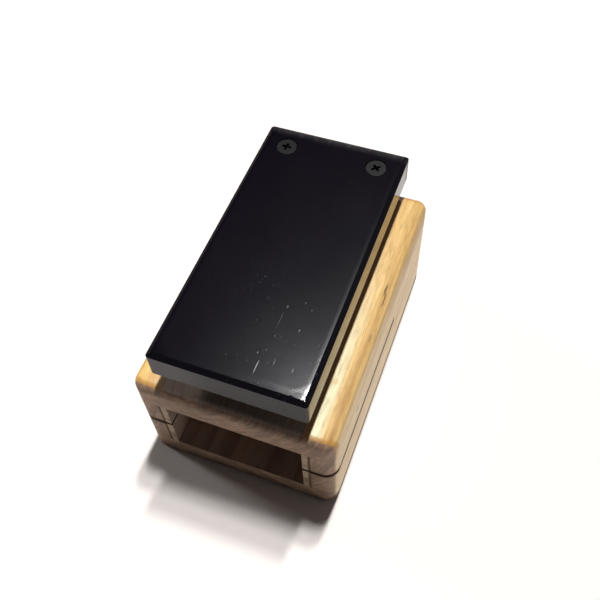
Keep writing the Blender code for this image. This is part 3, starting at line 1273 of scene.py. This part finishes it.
@dataclass
class HingeMount:
    """The rubber block and the two screws that hold the plate on the box."""

    head_radius: float = 0.0042
    head_rim: float = 0.0003
    head_edge_radius: float = 0.0002
    head_edge_flats: int = 3
    shank_radius: float = 0.002
    tip_radius: float = 0.0004
    tip_step: float = 0.003
    tip_share: float = 0.7
    screw_arris: float = 0.00006
    recess_span: float = 0.0048
    recess_width: float = 0.0013
    recess_depth: float = 0.0017
    recess_taper: Pair = (0.55, 0.75)
    overrun: float = 0.001
    turns: Pair = (-3.0, 42.0)
    rubber_corner_radius: float = 0.0015
    rubber_corner_flats: int = 5
    rubber_arris: float = 0.0003
    layers: int = 6
    bulge: float = 0.012
    end_bulge: float = 1.02
    squeeze: float = 0.0018

    def recess_arm(self, x: float, y: float, top: float, turn: float) -> Piece:
        """Shape what one arm of the cross takes out of a screw's head.

        Args:
            x: The X of the screw's axis.
            y: The Y of the screw's axis.
            top: The height of the head's top.
            turn: How far the arm is turned, in degrees.

        Returns:
            The cutter.
        """
        half, width = self.recess_span / 2, self.recess_width / 2
        arm = Piece.block("recess", (x - half, y - width, top - self.recess_depth),
                          (x + half, y + width, top + self.overrun))
        with arm.editing("FACE") as mesh:
            for face in mesh.faces:
                face.select_set(face.normal.z < -0.5)
            bmesh.update_edit_mesh(arm.item.data)
            bpy.ops.transform.resize(value=(*self.recess_taper, 1.0), center_override=(x, y, top))
            bpy.ops.mesh.select_all(action="SELECT")
            bpy.ops.transform.rotate(value=-math.radians(turn), orient_axis="Z",
                                     center_override=(x, y, top))
        return arm

    def build_screw(self, side: Side, turn: float, steel: Material, painted_recess_shade: Material) -> None:
        """Build one countersunk cross-head screw.

        Args:
            side: The side that it is on.
            turn: How far its cross is turned, in degrees.
            steel: Its material.
            painted_recess_shade: The painted shade inside its recess, a darker steel.
        """
        node = "plate_screw_" + side.word
        low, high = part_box(node)
        tip, top = low[2], high[2]
        under = top - self.head_rim - (self.head_radius - self.shank_radius)
        screw = Piece.turned(side.word + "_screw", side.screw, (
            (self.tip_radius, tip), (self.shank_radius * self.tip_share, tip + self.tip_step),
            (self.shank_radius, tip + 2 * self.tip_step), (self.shank_radius, under),
            (self.head_radius, top - self.head_rim), (self.head_radius, top),
        ))
        screw.round_rim(top, self.head_edge_radius, self.head_edge_flats)
        for arm in (0.0, 90.0):
            screw.bore(self.recess_arm(*side.screw, top, turn + arm))
        screw.ease(self.screw_arris)
        screw.hand_over(node, Body.BOX, Slot.STEEL, steel)

        def in_recess(face: Face) -> bool:
            """Accept a face inside the cross."""
            near = math.dist(face.center[:2], side.screw) < self.recess_span / 2
            return near and top - self.recess_depth - HAIR < face.center.z < top - HAIR

        # Painted shade inside the cross.
        screw.paint(painted_recess_shade, in_recess)

    def build_rubber(self) -> None:
        """Build the rubber, pressed a little out at its middle, which gives as the plate rocks."""
        low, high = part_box("hinge_rubber")
        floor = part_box("top_board")[1][2] + HAIR
        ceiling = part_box("strike_plate")[0][2] - HAIR
        reach = high[0] - self.squeeze
        rubber = Piece.block("rubber_hinge", (-reach, low[1], floor), (reach, high[1], ceiling))
        rubber.round_corners(self.rubber_corner_radius, self.rubber_corner_radius, self.rubber_corner_flats)
        middle = (floor + ceiling) / 2
        for layer in range(1, self.layers):
            height = floor + (ceiling - floor) * layer / self.layers
            swell = 1.0 + self.bulge * (1.0 - ((height - middle) / (middle - floor)) ** 2)
            rubber.slice((0.0, SCREW_LINE, height), (0.0, 0.0, 1.0), (swell, swell * self.end_bulge, 1.0))
        rubber.ease(self.rubber_arris)
        finish = DullFinish("black_rubber", Tone.CLOUDS, (0.012, 0.012, 0.013), (0.035, 0.034, 0.033),
                            2200.0, (0.6, 0.78), 0.0001, 0.35)
        piece = rubber.item
        piece.data.materials.append(finish.material())
        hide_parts("hinge_rubber")
        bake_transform(piece)
        LOG.info("%s bends between the box and the clapper", piece.name)

    def build(self) -> None:
        """Build the rubber and the screws."""
        self.build_rubber()
        steel = black_steel("blackened_steel", (0.0025, 0.0025, 0.0028), (0.0055, 0.0055, 0.006),
                            (0.34, 0.46))
        # Painted shade for the inside of each screw's cross: a darker, rougher steel.
        painted_recess_shade = black_steel("recess_black", (0.0012, 0.0012, 0.0013), (0.003, 0.003, 0.003), (0.74, 0.86))
        for side, turn in zip(Side, self.turns):
            self.build_screw(side, turn, steel, painted_recess_shade)


@dataclass(frozen=True)
class TubeLamp:
    """A soft lamp, given by where it hangs for each metre of height over the table."""

    name: str
    lean: Pair
    half_length: float
    strength: float
    width: float = 2.8
    parts: int = 4
    gleam_only: bool = False

    def build(self) -> None:
        """Hang the lamp as a row of soft lights along Y."""
        for part in range(self.parts):
            share = 2.0 * part / (self.parts - 1) - 1.0 if self.parts > 1 else 0.0
            place = Vector((self.lean[0], self.lean[1] + share * self.half_length, 1.0))
            bpy.ops.object.light_add(type="SUN", location=place)
            light = bpy.context.object
            light.name = self.name + "_" + str(part + 1)
            light.rotation_euler = place.to_track_quat("Z", "Y").to_euler()
            light.data.energy = self.strength / self.parts
            light.data.angle = math.radians(self.width)
            light.visible_diffuse = not self.gleam_only


@dataclass
class Studio:
    """The white table, the light and the camera."""

    camera_place: Triple = (0.07453, -0.15985, 0.29803)
    camera_turn: Triple = (34.3278, 2.25, 20.6103)
    lens: float = 46.213
    film_width: float = 36.0
    view_shift: float = 0.0015
    floor_reach: float = 6.0
    floor_roughness: float = 0.7
    floor_colour: Triple = (1.0, 0.93, 0.89)
    front_bounce: Triple = (0.43, 0.42, 0.415)
    side_bounce: Triple = (0.97, 0.955, 0.945)
    room_colour: Triple = (0.010, 0.010, 0.011)
    room_glow: Triple = (0.155, 0.15, 0.145)
    lamps: tuple[TubeLamp, ...] = (
        TubeLamp("far_tube", (0.012, 0.42), 0.035, 1.53),
        TubeLamp("near_tube", (0.0, 0.257), 0.045, 1.84),
        TubeLamp("window", (-1.70, 0.34), 0.0, 0.52, 8.0, 1),
        TubeLamp("small_lamp", (-0.17, 0.41), 0.0, 0.15, 3.0, 1, True),
    )

    def build_floor(self) -> None:
        """Lay the white table."""
        clear_selection()
        bpy.ops.mesh.primitive_plane_add(size=2 * self.floor_reach, location=(0.0, 0.0, 0.0))
        floor = bpy.context.object
        floor.name = "floor"
        coat = Coat("white_table")
        coat.set("Roughness", self.floor_roughness)
        path = coat.add("LightPath").outputs
        seen = coat.most(path["Is Camera Ray"], path["Is Glossy Ray"], path["Is Transmission Ray"])
        x, y, _ = coat.parts(coat.where)
        beside = coat.math("ADD", coat.math("ABSOLUTE", x), coat.times(y, 0.35))
        bounce = coat.mix(coat.span(beside, 0.0, 0.05), self.front_bounce, self.side_bounce)
        coat.set("Base Color", coat.mix(seen, bounce, self.floor_colour))
        floor.data.materials.append(coat.material)

    def build_light(self) -> None:
        """Hang the soft lamps and set the dim room round them."""
        clear_selection()
        for lamp in self.lamps:
            lamp.build()
        world = bpy.data.worlds.new("dim_room")
        bpy.context.scene.world = world
        world.use_nodes = True
        sheet = Sheet(world.node_tree)
        x, y, z = sheet.parts(sheet.add("TexCoord").outputs["Generated"])
        path = sheet.add("LightPath").outputs
        towards = sheet.math("ADD", x, sheet.times(y, 0.45))
        glow = sheet.times(sheet.span(towards, 0.2, 0.9), path["Is Diffuse Ray"])
        colour = sheet.mix(glow, self.room_colour, self.room_glow)
        mirrored = sheet.most(path["Is Glossy Ray"], path["Is Transmission Ray"])
        mirrored = sheet.times(mirrored, sheet.span(z, 0.05, 0.11, 1.0, 0.0))
        colour = sheet.mix(sheet.most(path["Is Camera Ray"], mirrored), colour, (1.0, 1.0, 1.0))
        sheet.add("OutputWorld", sheet.add("Background", colour).outputs["Background"])

    def build_camera(self) -> None:
        """Set the camera where the photograph was taken from."""
        clear_selection()
        bpy.ops.object.camera_add(location=self.camera_place,
                                  rotation=[math.radians(angle) for angle in self.camera_turn])
        camera = bpy.context.object
        camera.name = "camera"
        camera.data.lens = self.lens
        camera.data.sensor_width = self.film_width
        camera.data.clip_start = 0.01
        camera.data.shift_x = self.view_shift
        bpy.context.scene.camera = camera

    def build(self) -> None:
        """Set up the table, the light and the camera."""
        self.build_floor()
        self.build_light()
        self.build_camera()
        bpy.context.scene.view_settings.view_transform = "Standard"


def main() -> None:
    """Build the block and its studio."""
    logging.basicConfig(level=logging.INFO, format="%(name)s: %(message)s")
    Studio().build()
    SoundBox().build()
    Clapper().build()
    HingeMount().build()
    clear_selection()


if __name__ == "__main__":
    main()
